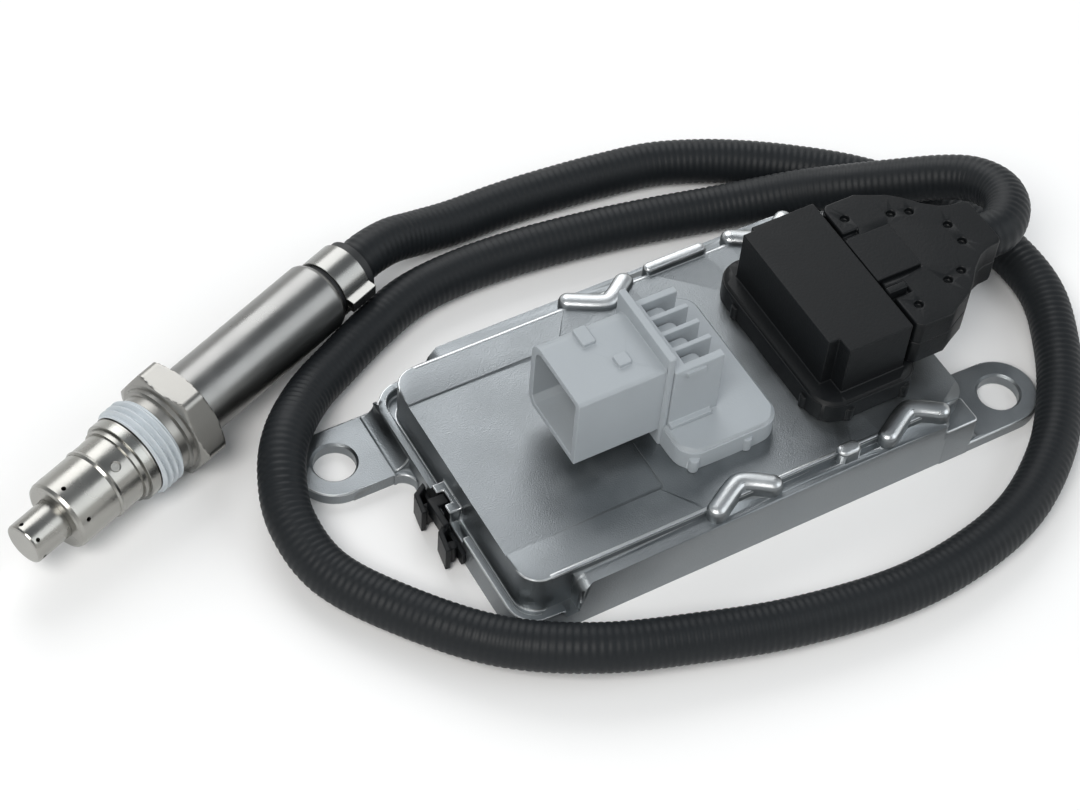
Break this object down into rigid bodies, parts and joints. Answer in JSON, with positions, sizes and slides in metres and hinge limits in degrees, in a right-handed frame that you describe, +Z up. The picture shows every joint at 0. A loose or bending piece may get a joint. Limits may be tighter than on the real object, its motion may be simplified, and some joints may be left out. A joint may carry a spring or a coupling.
{
  "type": "nitrogen oxide sensor",
  "caption": "Exhaust gas sensor: flat die-cast control unit with two plug connectors, a ribbed cable and a screw-in steel probe with a hexagon.",
  "frame": {"origin": "middle of the control unit's flat base, on the face that rests on the mounting surface", "axes": "+X along the unit's long side, away from the grey socket's mouth; +Y to its back; +Z up, out of the panel"},
  "size_m": [0.2295, 0.1361, 0.0414],
  "materials": {
    "cast_alloy": "as cast, satin",
    "sheet_alloy": "satin",
    "seal_rubber": "matt",
    "screw_steel": "satin",
    "board_green": "satin",
    "chip_black": "matt",
    "capacitor_sleeve": "gloss",
    "pad_grey": "matt",
    "black_plastic": "satin",
    "header_plastic": "satin",
    "grey_plastic": "matt",
    "contact_gold": "polished",
    "wire_white": "satin",
    "cable_black": "satin, finely ribbed",
    "grommet_grey": "matt",
    "band_steel": "bright",
    "probe_steel": "satin, slightly stained",
    "nut_steel": "turned, with white thread paste",
    "ring_steel": "bright",
    "ceramic": "unglazed ceramic",
    "talc_powder": "pressed powder"
  },
  "bodies": {
    "root": {"housing": "cast_alloy", "base_plate": "sheet_alloy", "base_seal": "seal_rubber", "base_screws": "screw_steel", "circuit_board": "board_green", "board_chips": "chip_black", "capacitors": "capacitor_sleeve", "thermal_pads": "pad_grey", "board_screws": "screw_steel", "side_clip": "black_plastic", "vehicle_connector": "grey_plastic", "vehicle_pins": "contact_gold", "vehicle_connector_seal": "seal_rubber", "sensor_header": "header_plastic", "header_pins": "contact_gold", "header_seal": "seal_rubber", "plug_body": "black_plastic", "plug_cover": "black_plastic", "plug_latch": "black_plastic", "plug_seal": "seal_rubber", "plug_terminals": "contact_gold", "plug_wires": "wire_white", "cable": "cable_black", "cable_grommet": "grommet_grey", "clamp_band": "band_steel", "lead_wires": "wire_white", "contact_holder": "ceramic", "contact_springs": "contact_gold", "probe_sleeve": "probe_steel", "probe_body": "probe_steel", "seal_ring": "ring_steel", "outer_shield": "probe_steel", "tip_tube": "probe_steel", "inner_shield": "ring_steel", "sensing_element": "ceramic", "front_insulator": "ceramic", "talc_ring": "talc_powder", "rear_insulator": "ceramic"},
    "nut": {"hex_nut": "nut_steel"}
  },
  "joints": [
    {"name": "nut_spin", "type": "hinge", "parent": "root", "child": "nut", "pos_m": [-0.0966, 0.0415, 0.011], "axis": [0.9272, 0.3746, 0], "continuous": true}
  ]
}
